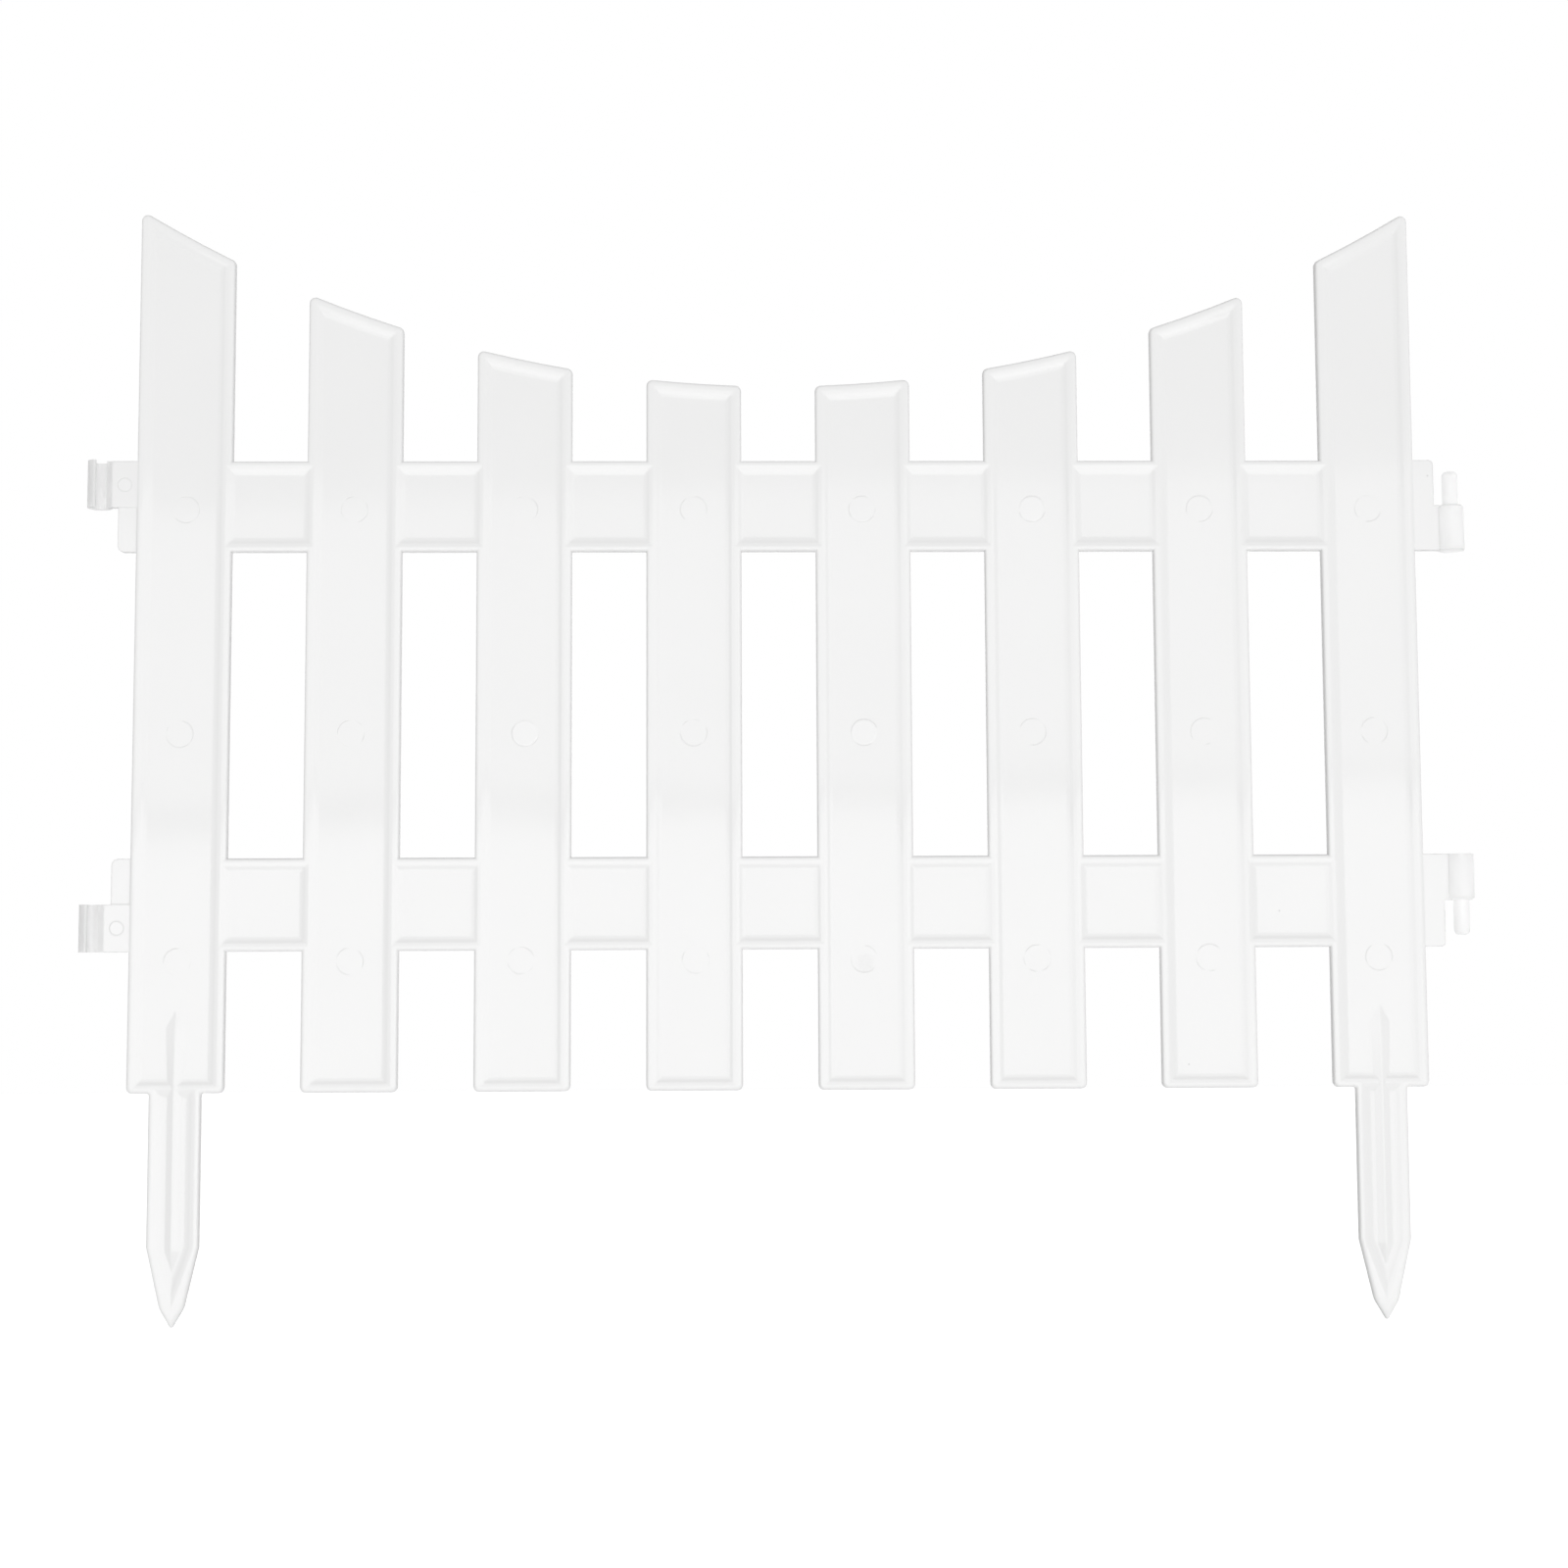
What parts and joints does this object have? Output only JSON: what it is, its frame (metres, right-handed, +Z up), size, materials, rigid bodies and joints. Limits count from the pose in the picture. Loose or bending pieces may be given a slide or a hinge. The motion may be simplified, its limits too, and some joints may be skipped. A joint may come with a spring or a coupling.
{
  "type": "garden picket fence panel",
  "caption": "White moulded garden edging panel: flat pickets with a scooped top line, two rails, ground stakes, and snap clips and pegs at the ends for joining panels.",
  "frame": {"origin": "ground line at the clip end: on the underside of the first picket, on its centre line, at half the pickets' depth", "axes": "+X along the fence from the clip end to the peg end, -Y towards the ribbed side with the clip mouths, +Z up; the stakes point down -Z"},
  "size_m": [0.5948, 0.0112, 0.4763],
  "materials": {
    "white_plastic": "semi-gloss moulded white polypropylene"
  },
  "bodies": {
    "root": {"fence_panel": "white_plastic"}
  },
  "joints": []
}
